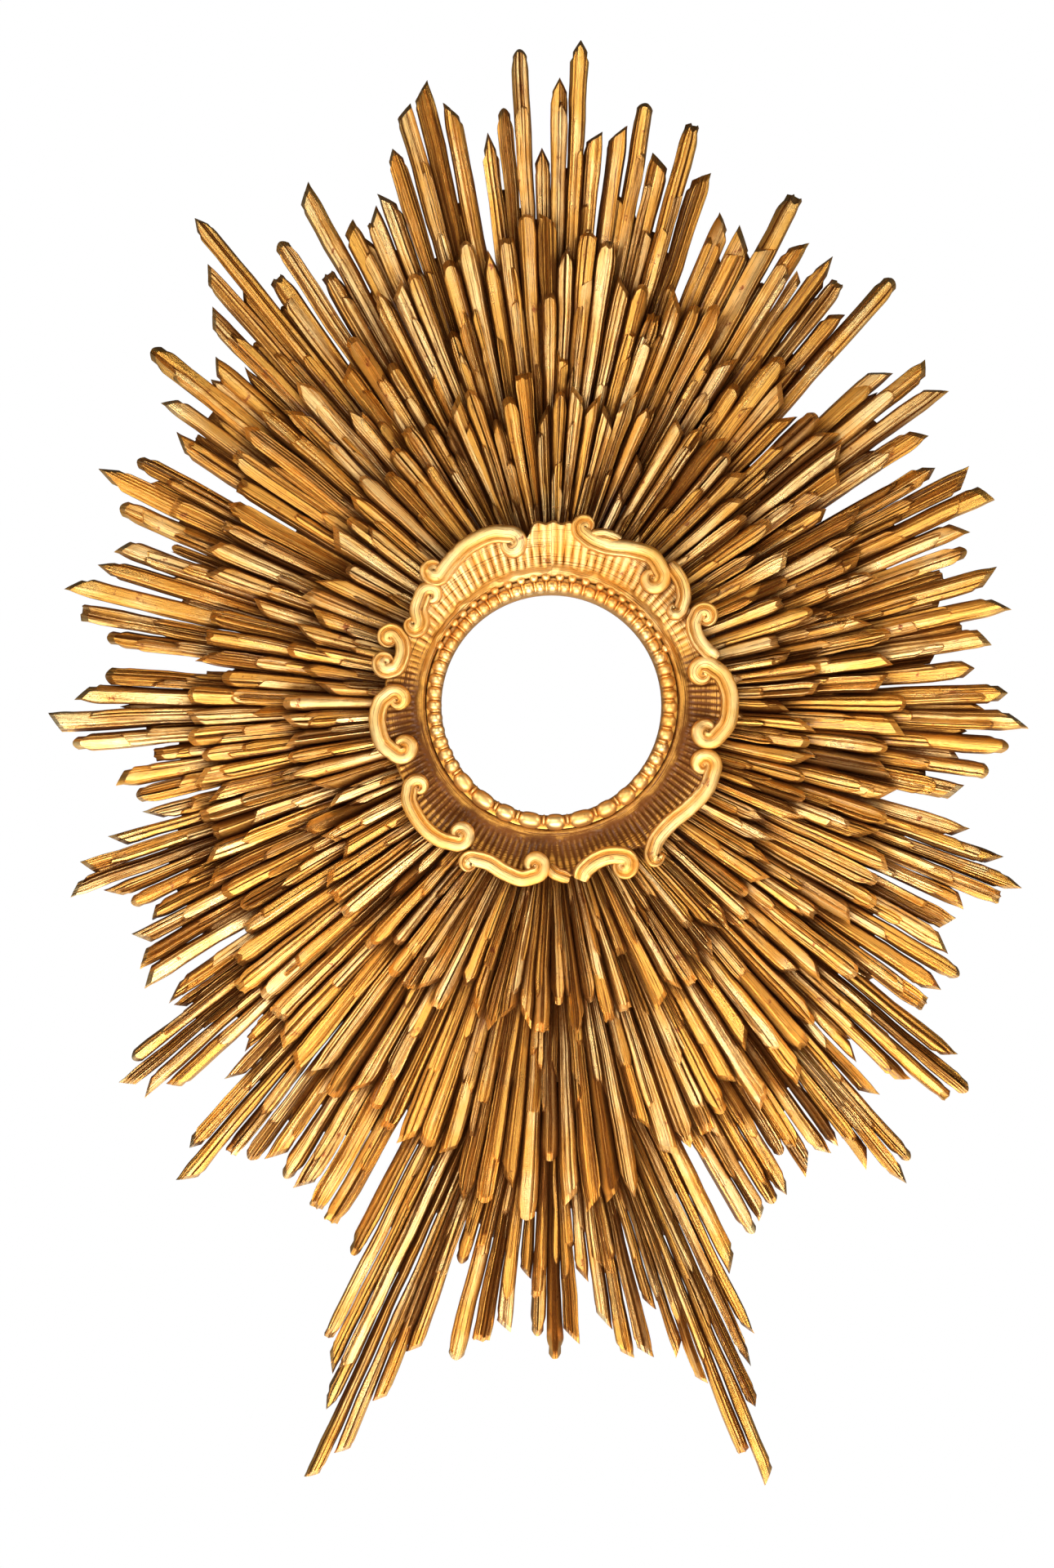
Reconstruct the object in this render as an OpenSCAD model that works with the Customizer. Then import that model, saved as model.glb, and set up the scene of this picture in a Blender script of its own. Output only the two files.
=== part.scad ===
// Carved giltwood glory: a sunburst of ray boards in three tiers round an open circular aperture.
// Everything is drawn lying down, with x to the right, y up and z towards the viewer,
// and upright() then stands it up: +Z up, the front towards -Y, the origin in the middle of the rebate.
// Angles are degrees clockwise from straight up, as seen from the front.

/* [Aperture] */
// Radius of the clear round opening
aperture_r = 82; // [76:1:83]
// Radius of the rebate that takes a lens, host case or panel from behind
rebate_r = 95; // [92:0.5:96]
// Depth of that rebate
rebate_d = 8; // [5:1:10]

/* [Ray boards] */
// Thickness of each tier of ray boards
tier_t = 20; // [16:1:24]
// Widest that one ray gets
ray_w = 15; // [12:0.5:16]
// Length of the cut that points a ray
point_l = 15; // [8:1:20]
// Height of a ray's outer edges, as a share of the tier
eave = 0.5; // [0.3:0.05:0.7]
// Radius at which the boards start
root_r = 101; // [100:1:106]
// How far from the aperture's centre the rays at top and bottom converge
focus_d = 55; // [45:1:58]
// The same for the rays of the two long tails at the bottom
tail_focus_d = 190; // [180:1:195]

/* [Carcass] */
// Thickness of the core ring and the lower backboard
core_t = 20; // [16:1:24]
// Outer radius of the core ring
core_r = 190; // [185:1:195]
// Thickness of the battens, which keep the fittings clear of the wall
batten_t = 14; // [13:1:18]

/* [Rocaille frame] */
// Outer radius of the fluted cove
cove_r = 124; // [122:1:126]
// How far the scrolls stand in front of the rays
frame_t = 34; // [30:1:36]
// Half the width of a scroll's rib
rib_r = 5.5; // [4.5:0.25:6]

/* [Fittings] */
// Radius of the wood screws' shanks
screw_r = 1.75; // [1.5:0.25:2]
// Radius of the turn buttons' pivot screws
pivot_r = 2; // [1.75:0.25:2.25]
// Radius of the hanging rings' wire
wire_r = 1.5; // [1.25:0.25:1.5]

/* [Hidden] */
$fn = 48;
back_z = batten_t + core_t;          // where each layer starts, counted forwards from the wall
mid_z = back_z + tier_t;
front_z = mid_z + tier_t;
frame_z = front_z + tier_t;
origin_z = batten_t + rebate_d / 2;  // the middle of the rebate's wall
weld = 0.3;                          // overlap of neighbouring rays of one board
board_gap = 0.5;                     // clearance kept at a board's own edges
tail_in = 16;                        // within this angle of straight down the rays share the tails' focus
tail_out = 27;                       // beyond this angle they share everyone else's
root_reach = 46;                     // a board starts at least this far beyond its rays' focus
tail_seat = 50;                      // least length of a root plate in the back tier
plate_lap = 8;                       // how far a ray runs into the root plate
crest_drop = 0.5;                    // how much lower the rays' crests are than the root plate
hole_gap = 0.1;                      // clearance round a screw
head_r = 2 * screw_r;
back_screw_l = core_t + 11;
tier_screw_l = tier_t + 6;
batten_screw_l = batten_t + 10;
button_gap = 0.05;                   // running clearance of a turn button on its pivot

// One row is one board. A board holds one or more runs of evenly spaced rays:
// [angle of the first tip, angle of the last tip, [distance of each tip from the aperture's centre]].
back_boards = [
    [[-6.4, 4.3, [438, 455, 499, 424, 477, 506, 438]]],
    [[6.6, 16, [445, 463, 427, 455, 423]]],
    [[19.6, 28.5, [396, 392, 430, 403]], [32, 38.6, [403, 389, 372, 415]]],
    [[45, 53.6, [363, 387, 386, 353]]],
    [[58.4, 69.6, [343, 366, 372, 345, 337]], [73.6, 85, [355, 358, 338, 323]]],
    [[88.6, 102, [347, 364, 349, 336, 320]]],
    [[107.2, 115.4, [332, 363, 384, 372, 350]]],
    [[118.6, 128.8, [348, 356, 372, 367, 365]], [131.3, 138.4, [408, 432, 424, 395, 357]]],
    [[140.4, 148.4, [388, 440, 453, 427, 400, 402]], [151, 159.4, [408, 384, 413, 415, 423, 430]]],
    [[160.9, 168.4, [453, 503, 525, 555, 615, 587, 530, 505]]],
    [[170.4, 176.6, [467, 503, 501, 478, 440]], [178.2, 184.4, [487, 497, 480, 437, 478]],
     [186.2, 189.9, [487, 503, 430]]],
    [[192.7, 201, [505, 547, 593, 617, 562, 535, 510, 445]]],
    [[203, 213.8, [428, 423, 417, 413, 409, 415]]],
    [[215.6, 222.6, [420, 461, 435, 378, 352]], [225, 232.8, [411, 430, 437, 417, 367, 369]]],
    [[236, 242.6, [377, 372, 364, 345]], [244.9, 254.6, [353, 369, 394, 378, 352, 322]]],
    [[257.8, 268, [323, 337, 305, 365, 383]], [271.4, 281.2, [363, 340, 250, 342, 365]]],
    [[284, 290.2, [381, 361, 353]], [294.6, 300.6, [361, 389, 366]]],
    [[305, 315.3, [353, 376, 407, 368]], [318.7, 326.8, [398, 425, 459, 387]]],
    [[329.6, 337, [408, 370, 439, 399]], [339.6, 350.4, [403, 411, 440, 470, 485, 466]]]
];
mid_boards = [
    [[-22.8, -10.6, [340, 341, 342, 292, 345, 356]], [-8, 7, [347, 355, 371, 372, 345, 358, 353]]],
    [[9.8, 27.4, [328, 325, 306, 328, 321, 327, 295, 298]]],
    [[30.4, 51.4, [280, 315, 300, 287, 297, 300, 298, 282]]],
    [[54.4, 78.2, [255, 278, 268, 262, 266, 228, 250, 262]],
     [82.2, 104.8, [260, 256, 268, 268, 256, 264, 270]]],
    [[109, 128.3, [268, 266, 284, 280, 288, 280, 256]],
     [131.7, 149.6, [308, 293, 275, 312, 322, 342, 300]]],
    [[152, 168, [345, 318, 335, 345, 351, 354, 330]]],
    [[170.4, 190.2, [378, 379, 385, 380, 345, 390, 368, 380, 382]]],
    [[193, 209.4, [350, 347, 352, 345, 333, 331, 340]]],
    [[212.4, 234, [333, 338, 330, 315, 311, 320, 308, 288]]],
    [[237, 258.4, [280, 287, 293, 288, 274, 279, 270, 277]]],
    [[261.4, 284.6, [267, 276, 277, 275, 250, 272, 267, 267]]],
    [[288.4, 308.6, [240, 280, 287, 283, 288, 290, 306]],
     [312.2, 334.6, [313, 314, 302, 312, 272, 300, 316, 285]]]
];
front_boards = [
    [[-24.2, -8.2, [230, 228, 243, 244, 218, 233]], [-4.8, 14.4, [250, 226, 235, 240, 237, 228, 245]]],
    [[17.6, 39, [234, 198, 234, 237, 240, 230, 228]]],
    [[42, 66, [213, 203, 214, 195, 212, 200, 190]]],
    [[70.4, 98.5, [208, 177, 185, 204, 203, 180, 200, 196]]],
    [[102.6, 130.2, [202, 198, 203, 208, 184, 197, 205, 210]]],
    [[134, 160, [205, 218, 215, 212, 228, 225, 236, 236, 243]]],
    [[163.4, 191, [196, 237, 243, 226, 250, 226, 247, 245, 240, 250]]],
    [[194, 217, [243, 222, 245, 238, 240, 237, 215, 225]]],
    [[220.5, 246.5, [190, 223, 220, 218, 195, 200, 207, 186]]],
    [[250.5, 278, [193, 205, 202, 203, 203, 202, 180, 190]]],
    [[281.8, 307.4, [203, 203, 195, 205, 201, 185, 212]], [311.8, 332.6, [207, 218, 223, 213, 225, 235]]]
];

// Where each tier's screws go: the boards are fixed in turn, and the next tier hides the heads.
back_screw_r = 160;
tail_screw_r = 300;                  // the tail boards are screwed to the lower backboard
mid_screw_r = 130;
front_screw_r = 118;
back_seat_r = 205;                   // each tier is flat as far out as this
mid_seat_r = 160;
front_seat_r = 122;
dowel_ring_r = 111;
dowel_r = 3;
dowel_l = 20;
dowel_angles = [for (i = [0:5]) 30 + 60 * i];

// Turn buttons
button_ring_r = 104;
button_l = 36;
button_w = 9;
button_t = 3;
button_screw_in = 10;                // how far its screw goes into the core ring
hole_end = 0.5;                      // how much deeper that hole is than the screw
button_angles = [60, 180, 300];
pivot_head_t = 2;

// Hanging straps and rings
hanger_x = 110;
hanger_y = 152;
strap_w = 12;
strap_l = 18;
strap_t = 1.1;
pocket_w = 30;
pocket_d = 6;
ring_bend_r = 10;
ring_leg = 13;
hanger_screw_in = 11;                // how far the strap's screw is from the ring's axis
hanger_screw_l = 8;                  // how deep it goes into the batten
hanger_head_t = 1.2;
wire_gap = 0.06;
knuckle_r = wire_r + 1.1;
wire_z = pocket_d - strap_t - 0.2 - wire_r;   // the wire's depth behind the batten's face
upper_batten = [300, 40];
upper_batten_y = 130;
lower_batten = [36, 250];
lower_batten_x = 62;
lower_batten_y = -372;
upper_screw_x = [20, 86];            // the battens' screws, on each side of the middle
lower_screw_y = [-150, -350];

// The lower backboard's outline: a shield between these heights, hollowed by the core ring
backboard_top = -160;
backboard_widest = -290;
backboard_foot = -372;
backboard_w = [240, 240, 150];       // its width at those heights

// The tail spacer, from the roots of the middle boards down: [height, half width]
spacer_steps = [[-90, 24], [-150, 22], [-180, 12], [-220, 12]];

// Rocaille frame and beaded ring
frame_bore_r = 94;
scroll_z = 8;                        // where the scrolls start, inside the cove
boss_rise = 3;                       // how far a scroll's end bosses stand above its rib
boss_r = 1.3 * rib_r;
ring_in = aperture_r + 2;            // the ring's collar reaches back through the boards
ring_out = frame_bore_r - 0.5;
ring_rise = 9;                       // how far the collar stands in front of the rays
bead_r = 5.5;                        // the half-round on its front edge

// Cove between the beaded edge and the scrolls, as a section [radius, height]
cove = [
    [frame_bore_r, 0], [cove_r, 0], [cove_r, frame_t - 12], [cove_r - 5, frame_t - 8],
    [cove_r - 12, frame_t - 15], [cove_r - 20, frame_t - 20], [frame_bore_r, frame_t - 22]
];

function mean(v) = (v * [for (i = v) 1]) / len(v);
function unit(p) = [sin(p), cos(p)];                       // a direction, clockwise from up
function across(p) = [cos(p), -sin(p)];                    // a quarter turn clockwise from it
function cross2(a, b) = a.x * b.y - a.y * b.x;
function focus_base(a) = focus_d * cos(a) * abs(cos(a));
function off_down(a) = abs(180 - (a < 0 ? a + 360 : a));

// Height of the point on the centre line that the ray at angle a comes from
function focus(a, tails) =
    let (d = off_down(a), base = focus_base(a))
    !tails || d > tail_out ? base
    : d < tail_in ? -tail_focus_d
    : -tail_focus_d + (base + tail_focus_d) * (d - tail_in) / (tail_out - tail_in);

// Direction of the line at angle a: it comes from its focus and passes that angle at distance r
function heading(a, r, tails) = atan2(r * sin(a), r * cos(a) - focus(a, tails));

// Distance from the focus along that line at which it is r from the aperture's centre
function along(a, r_ref, r, tails) =
    let (h = focus(a, tails), p = heading(a, r_ref, tails))
    -h * cos(p) + sqrt(r * r - pow(h * sin(p), 2));

// The point of the line at distance r from the aperture's centre, moved sideways by shift
function line_point(a, r_ref, r, tails, shift = 0) =
    let (p = heading(a, r_ref, tails))
    [0, focus(a, tails)] + along(a, r_ref, r, tails) * unit(p) + shift * across(p);

// Distance, square to heading p, from point q to the line at angle a
function offset_to(a, r_ref, q, p, tails) =
    let (e = unit(heading(a, r_ref, tails)))
    abs(cross2([0, focus(a, tails)] - q, e) / cross2(across(p), e));

// Radii at which a board's root plate starts and ends
function root_in(a, tails) = max(root_r, abs(focus(a, tails)) + root_reach);
function root_out(a, tails, seat_r) = tails ? max(seat_r, root_in(a, tails) + tail_seat) : seat_r;

function count(run) = len(run[2]);
function pitch(run) = (run[1] - run[0]) / (count(run) - 1);
function tip_angle(run, i) = run[0] + i * pitch(run);

// One ray: a wedge between its two dividing lines, no wider than ray_w, pointed and roof-shaped.
// It starts inside the root plate.
module ray(run, i, tails, seat_r) {
    a = tip_angle(run, i);
    r_ref = mean(run[2]);
    h = focus(a, tails);
    p = heading(a, r_ref, tails);
    s0 = along(a, r_ref, root_out(a, tails, seat_r), tails) - plate_lap;
    s2 = along(a, r_ref, run[2][i], tails);
    s1 = s2 - point_l;
    half = ray_w / 2;
    // Half width at distance s, on one side
    function side(s, edge, trim) =
        offset_to(a + edge * pitch(run) / 2, r_ref, [0, h] + s * unit(p), p, tails) + trim;
    // [half width, distance] where a side starts, stops widening and ends
    function flank(edge, trim) =
        let (w0 = min(side(s0, edge, trim), half), w1 = side(s1, edge, trim))
        let (s_wide = s0 + (s1 - s0) * (half - w0) / (w1 - w0))
        w1 > half ? [[w0, s0], [half, s_wide], [half, s1]] : [[w0, s0], [w1, s1]];
    left = flank(-1, i == 0 ? -board_gap : weld);
    right = flank(1, i == count(run) - 1 ? -board_gap : weld);
    translate([0, h, 0])
        rotate([0, 0, -p])
            intersection() {
                linear_extrude(tier_t)
                    polygon([
                        for (q = left) [-q.x, q.y],
                        [0, s2],
                        for (j = [len(right) - 1:-1:0]) right[j]
                    ]);
                translate([0, s2 + 1, 0])
                    rotate([90, 0, 0])
                        linear_extrude(s2 - s0 + 2)
                            polygon([
                                [-half - 1, -1], [half + 1, -1],
                                [half + 1, tier_t * eave], [0, tier_t - crest_drop],
                                [-half - 1, tier_t * eave]
                            ]);
            }
}

// The flat root of a board, of the tier's full thickness, under the next tier's seat
module root_plate(board, tails, seat_r) {
    runs = len(board);
    trim = board_gap + 0.2;
    // [angle, reference radius, sideways shift] of each dividing line, in order
    lines = [
        for (k = [0:runs - 1])
            for (i = [0:count(board[k]) - (k == runs - 1 ? 0 : 1)])
                [tip_angle(board[k], i) - pitch(board[k]) / 2, mean(board[k][2]),
                 k == 0 && i == 0 ? trim : i == count(board[k]) ? -trim : 0]
    ];
    linear_extrude(tier_t)
        polygon([
            for (q = lines) line_point(q[0], q[1], root_out(q[0], tails, seat_r), tails, q[2]),
            for (j = [len(lines) - 1:-1:0])
                let (q = lines[j]) line_point(q[0], q[1], root_in(q[0], tails), tails, q[2])
        ]);
}

module ray_board(board, tails, seat_r) {
    root_plate(board, tails, seat_r);
    for (run = board)
        for (i = [0:count(run) - 1]) ray(run, i, tails, seat_r);
}

// The middle ray of a board's first run carries its screw
function screw_point(board, r, tails) =
    let (run = board[0])
    line_point(tip_angle(run, floor(count(run) / 2)), mean(run[2]), r, tails);
function is_tail(board) = off_down(board[0][0]) < 20;
back_screws = [for (b = back_boards) screw_point(b, is_tail(b) ? tail_screw_r : back_screw_r, true)];
mid_screws = [for (b = mid_boards) screw_point(b, mid_screw_r, false)];
front_screws = [for (b = front_boards) screw_point(b, front_screw_r, false)];

module wood_screw(l) {
    color("dimgray") {
        cylinder(r = screw_r, h = l);
        cylinder(r1 = head_r, r2 = screw_r, h = head_r - screw_r);
    }
}

module screw_hole(l) {
    cylinder(r = screw_r + hole_gap, h = l + hole_gap);
    translate([0, 0, -1]) cylinder(r = head_r + hole_gap, h = 1);
    cylinder(r1 = head_r + hole_gap, r2 = screw_r + hole_gap, h = head_r - screw_r);
}

// From the front, a screw's head is at z and its shank runs back towards the wall
module from_front(at, z) translate([at.x, at.y, z]) mirror([0, 0, 1]) children();
module from_back(at, z) translate([at.x, at.y, z]) children();

module back_board(i) color("goldenrod") difference() {
    translate([0, 0, back_z]) ray_board(back_boards[i], true, back_seat_r);
    from_back(back_screws[i], batten_t) screw_hole(back_screw_l);
    for (at = mid_screws) from_front(at, front_z) screw_hole(tier_screw_l);
}

module mid_board(i) color("goldenrod") difference() {
    translate([0, 0, mid_z]) ray_board(mid_boards[i], false, mid_seat_r);
    from_front(mid_screws[i], front_z) screw_hole(tier_screw_l);
    for (at = front_screws) from_front(at, frame_z) screw_hole(tier_screw_l);
}

module front_board(i) color("gold") difference() {
    translate([0, 0, front_z]) ray_board(front_boards[i], false, front_seat_r);
    from_front(front_screws[i], frame_z) screw_hole(tier_screw_l);
    dowels(hole_gap);
}

module board_screws() {
    for (at = back_screws) from_back(at, batten_t) wood_screw(back_screw_l);
    for (at = mid_screws) from_front(at, front_z) wood_screw(tier_screw_l);
    for (at = front_screws) from_front(at, frame_z) wood_screw(tier_screw_l);
}

module dowels(gap) {
    color("burlywood") for (a = dowel_angles)
        translate([dowel_ring_r * sin(a), dowel_ring_r * cos(a), frame_z - dowel_l / 2 - gap])
            cylinder(r = dowel_r + gap, h = dowel_l + 2 * gap);
}

module core_ring() color("tan") difference() {
    translate([0, 0, batten_t]) cylinder(r = core_r, h = core_t, $fn = 96);
    translate([0, 0, batten_t - 1]) cylinder(r = ring_in, h = core_t + 2, $fn = 96);
    translate([0, 0, batten_t - 1]) cylinder(r = rebate_r, h = rebate_d + 1, $fn = 96);
    for (at = back_screws) from_back(at, batten_t) screw_hole(back_screw_l);
    for (a = button_angles) at_button(a)
        cylinder(r = pivot_r + hole_gap, h = batten_t + button_screw_in + hole_end);
    batten_screw_places() screw_hole(batten_screw_l);
}

// A board below the core ring that carries the tails
module lower_backboard() color("tan") difference() {
    heights = [backboard_top, backboard_widest, backboard_foot];
    translate([0, 0, batten_t]) linear_extrude(core_t) polygon([
        for (i = [0:2]) [backboard_w[i] / 2, heights[i]],
        for (i = [2:-1:0]) [-backboard_w[i] / 2, heights[i]]
    ]);
    translate([0, 0, batten_t - 1]) cylinder(r = core_r + 0.2, h = core_t + 2, $fn = 96);
    for (at = back_screws) from_back(at, batten_t) screw_hole(back_screw_l);
    batten_screw_places() screw_hole(batten_screw_l);
}

// Fills the back tier between the core ring and the roots of the tail boards
module tail_spacer() color("tan") difference() {
    translate([0, 0, back_z]) linear_extrude(tier_t) polygon([
        for (q = spacer_steps) [q[1], q[0]],
        for (j = [len(spacer_steps) - 1:-1:0]) [-spacer_steps[j][1], spacer_steps[j][0]]
    ]);
    translate([0, 0, back_z - 1]) cylinder(r = root_r, h = tier_t + 2, $fn = 96);
    for (at = mid_screws) from_front(at, front_z) screw_hole(tier_screw_l);
}

module batten_screw_places() {
    for (s = [-1, 1]) {
        for (x = upper_screw_x) translate([s * x, upper_batten_y + upper_batten.y / 2, 0]) children();
        for (y = lower_screw_y) translate([s * lower_batten_x, y, 0]) children();
    }
}

module batten_screws() batten_screw_places() wood_screw(batten_screw_l);

module upper_batten() color("peru") difference() {
    translate([-upper_batten.x / 2, upper_batten_y, 0]) cube([upper_batten.x, upper_batten.y, batten_t]);
    for (s = [-1, 1]) translate([s * hanger_x - pocket_w / 2, upper_batten_y - 1, -1])
        cube([pocket_w, upper_batten.y + 2, pocket_d + 1]);
    batten_screw_places() screw_hole(batten_screw_l);
    at_hangers() translate([0, -hanger_screw_in, 0]) cylinder(r = screw_r + hole_gap, h = pocket_d + 7);
}

module lower_battens() color("peru") difference() {
    for (s = [-1, 1]) translate([s * lower_batten_x - lower_batten.x / 2, lower_batten_y, 0])
        cube([lower_batten.x, lower_batten.y, batten_t]);
    batten_screw_places() screw_hole(batten_screw_l);
}

// One scroll of the rim: an arc of rib about a point of its own, with a round boss at each end.
// [angle of its middle, distance of its middle, bend radius, half the arc, +1 to bulge out or -1 in]
scrolls = [
    [28, 121, 38, 45, 1], [56, 118, 20, 55, -1], [87, 116, 21, 70, 1], [120, 116, 32, 50, 1],
    [147, 122, 18, 60, -1], [161, 118, 20, 80, 1], [194, 119, 34, 50, 1], [225, 117, 30, 60, 1],
    [262, 116, 23, 65, 1], [288, 119, 20, 65, -1], [331, 121, 42, 50, 1], [0, 126, 60, 15, 1]
];

module scroll(s) {
    a = s[0];
    turn = 90 - a + (s[4] > 0 ? 0 : 180);
    rib_h = frame_t - scroll_z - boss_rise;
    translate([s[1] * sin(a), s[1] * cos(a), scroll_z])
        rotate([0, 0, turn])
            translate([-s[2], 0, 0]) {
                rotate([0, 0, -s[3]])
                    rotate_extrude(angle = 2 * s[3], $fn = 64)
                        translate([s[2] - rib_r, 0]) square([2 * rib_r, rib_h]);
                for (e = [-1, 1])
                    rotate([0, 0, e * s[3]])
                        translate([s[2], 0, 0]) cylinder(r = boss_r, h = rib_h + boss_rise);
            }
}

module rocaille_frame() color("gold") difference() {
    translate([0, 0, frame_z]) {
        rotate_extrude($fn = 96) polygon(cove);
        for (s = scrolls) scroll(s);
    }
    dowels(hole_gap);
}

// The turned sight edge: a half-round moulding in front, with a collar that reaches back to the core ring
module beaded_ring() color("gold") translate([0, 0, back_z]) rotate_extrude($fn = 96) {
    collar_l = frame_z - back_z + ring_rise;
    translate([ring_in, 0]) square([ring_out - ring_in, collar_l]);
    translate([aperture_r + bead_r, collar_l]) circle(r = bead_r);
}

module at_button(a)
    translate([button_ring_r * sin(a), button_ring_r * cos(a), 0]) rotate([0, 0, -a]) children();

module turn_button(i) color("darkslategray") at_button(button_angles[i])
    translate([0, 0, batten_t - button_t - button_gap]) difference() {
        span = button_l - button_w;
        union() {
            translate([-span / 2, -button_w / 2, 0]) cube([span, button_w, button_t]);
            for (e = [-1, 1]) translate([e * span / 2, 0, 0]) cylinder(r = button_w / 2, h = button_t);
        }
        translate([0, 0, -1]) cylinder(r = pivot_r + button_gap, h = button_t + 2);
    }

module turn_button_screws() color("dimgray") for (a = button_angles) at_button(a) {
    z = batten_t - button_t - 2 * button_gap;
    translate([0, 0, z]) cylinder(r = pivot_r, h = button_t + button_screw_in);
    translate([0, 0, z - pivot_head_t]) cylinder(r1 = pivot_r, r2 = 2 * pivot_r, h = pivot_head_t);
}

module at_hangers() for (s = [-1, 1]) translate([s * hanger_x, hanger_y, 0]) children();

module hanger_straps() color("darkslategray") at_hangers() difference() {
    union() {
        translate([-strap_w / 2, -strap_l, pocket_d - strap_t]) cube([strap_w, strap_l, strap_t]);
        translate([-strap_w / 2, 0, wire_z]) rotate([0, 90, 0]) cylinder(r = knuckle_r, h = strap_w);
    }
    translate([-strap_w / 2 - 1, 0, wire_z])
        rotate([0, 90, 0]) cylinder(r = wire_r + wire_gap, h = strap_w + 2);
    translate([0, -hanger_screw_in, 0]) cylinder(r = screw_r + hole_gap, h = pocket_d + 1);
}

module hanger_screws() color("dimgray") at_hangers()
    translate([0, -hanger_screw_in, pocket_d - strap_t - hanger_head_t]) {
        cylinder(r = screw_r, h = strap_t + hanger_screw_l);
        cylinder(r1 = screw_r, r2 = 0.8 * head_r, h = hanger_head_t);
    }

// A D-shaped wire ring, drawn hanging down in its pocket
module hanging_ring(s) color("dimgray") translate([s * hanger_x, hanger_y, wire_z]) mirror([0, 1, 0]) {
    rotate([0, 90, 0]) cylinder(r = wire_r, h = 2 * ring_bend_r, center = true);
    for (e = [-1, 1]) {
        translate([e * ring_bend_r, 0, 0]) sphere(r = wire_r);
        translate([e * ring_bend_r, 0, 0]) rotate([-90, 0, 0]) cylinder(r = wire_r, h = ring_leg);
    }
    translate([0, ring_leg, 0]) rotate_extrude(angle = 180) translate([ring_bend_r, 0]) circle(r = wire_r);
}

module upright() rotate([90, 0, 0]) translate([0, 0, -origin_z]) children();

function numbered(name, list) = [for (i = [1:len(list)]) str(name, i < 10 ? "0" : "", i)];
BACK = numbered("back_ray_board_", back_boards);
MID = numbered("middle_ray_board_", mid_boards);
FRONT = numbered("front_ray_board_", front_boards);
BUTTONS = [for (i = [1:len(button_angles)]) str("turn_button_", i)];

upright() {
    for (i = [0:len(BACK) - 1]) back_board(i);
    for (i = [0:len(MID) - 1]) mid_board(i);
    for (i = [0:len(FRONT) - 1]) front_board(i);
    for (i = [0:len(BUTTONS) - 1]) turn_button(i);
    core_ring();
    lower_backboard();
    tail_spacer();
    upper_batten();
    lower_battens();
    batten_screws();
    board_screws();
    dowels(0);  // frame_dowels
    rocaille_frame();
    beaded_ring();
    turn_button_screws();
    hanger_straps();
    hanger_screws();
    hanging_ring(-1);  // hanging_ring_left
    hanging_ring(1);  // hanging_ring_right
}
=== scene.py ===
"""A carved giltwood glory: three tiers of rays, a rocaille frame and a beaded ring round an open aperture.

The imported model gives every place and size. Its plain ray boards, frame and ring are replaced by carved ones
that are worked out from its own crest lines and boxes.
"""

import math
import random

import bpy
import numpy as np
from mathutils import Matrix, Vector


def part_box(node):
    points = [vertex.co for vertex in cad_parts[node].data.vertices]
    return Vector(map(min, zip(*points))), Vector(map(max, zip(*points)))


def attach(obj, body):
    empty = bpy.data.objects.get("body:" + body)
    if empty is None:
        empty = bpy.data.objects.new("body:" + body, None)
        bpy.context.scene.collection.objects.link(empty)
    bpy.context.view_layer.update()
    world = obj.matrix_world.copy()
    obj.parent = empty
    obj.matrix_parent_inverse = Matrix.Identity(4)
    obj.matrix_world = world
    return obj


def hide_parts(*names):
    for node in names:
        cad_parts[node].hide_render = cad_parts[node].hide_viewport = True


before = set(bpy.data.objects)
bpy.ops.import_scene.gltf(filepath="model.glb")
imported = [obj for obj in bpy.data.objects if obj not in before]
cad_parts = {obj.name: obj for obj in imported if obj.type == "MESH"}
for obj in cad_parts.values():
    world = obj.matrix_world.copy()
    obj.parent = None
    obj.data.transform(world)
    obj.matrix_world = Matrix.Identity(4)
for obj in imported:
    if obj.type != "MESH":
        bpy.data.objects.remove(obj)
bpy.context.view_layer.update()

MM = 0.001
BODY = "glory"                       # the fixed body, which every carved piece belongs to
TIERS = ("back", "middle", "front")


# ---------------------------------------------------------------- meshes

class Carving:
    """Collects closed shells into one mesh, in millimetres of (x, z, height towards the viewer)."""

    def __init__(self):
        self.verts, self.faces, self.slots = [], [], []
        self.point_data = {"along": [], "across": [], "tone": [], "hollow": []}
        self.face_data = {"tooled": []}

    def add(self, verts, faces, hollow, tone, along=None, across=None, slots=None, tooled=None):
        """Adds a shell. hollow, along and across are given per vertex, slots and tooled per face."""
        start = len(self.verts)
        self.verts += verts
        self.faces += [[start + i for i in f] for f in faces]
        self.slots += slots or [0] * len(faces)
        self.point_data["along"] += along or [0.0] * len(verts)
        self.point_data["across"] += across or [0.0] * len(verts)
        self.point_data["tone"] += [tone] * len(verts)
        self.point_data["hollow"] += hollow
        self.face_data["tooled"] += tooled or [0.0] * len(faces)

    def replace(self, node, materials, sharp, floor=0.0):
        """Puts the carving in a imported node's place. Edges past sharp degrees stay sharp, and floor is the
        height of its zero, in mm."""
        self.verts = [(x, z, h + floor) for x, z, h in self.verts]
        piece = self.build(node + "_carved", materials, sharp)
        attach(piece, BODY)
        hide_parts(node)

    def build(self, name, materials, sharp):
        mesh = bpy.data.meshes.new(name)
        mesh.from_pydata([(x * MM, -h * MM, z * MM) for x, z, h in self.verts], [], self.faces)
        for material in materials:
            mesh.materials.append(material)
        mesh.polygons.foreach_set("material_index", self.slots)
        mesh.polygons.foreach_set("use_smooth", [True] * len(self.faces))
        for key, values in self.point_data.items():
            mesh.attributes.new(key, "FLOAT", "POINT").data.foreach_set("value", values)
        for key, values in self.face_data.items():
            mesh.attributes.new(key, "FLOAT", "FACE").data.foreach_set("value", values)
        mesh.validate()
        mesh.set_sharp_from_angle(angle=math.radians(sharp))
        obj = bpy.data.objects.new(name, mesh)
        bpy.context.scene.collection.objects.link(obj)
        return obj


def lerp(a, b, t):
    return a + (b - a) * t


def clamp(x, low=0.0, high=1.0):
    return max(low, min(high, x))


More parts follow.
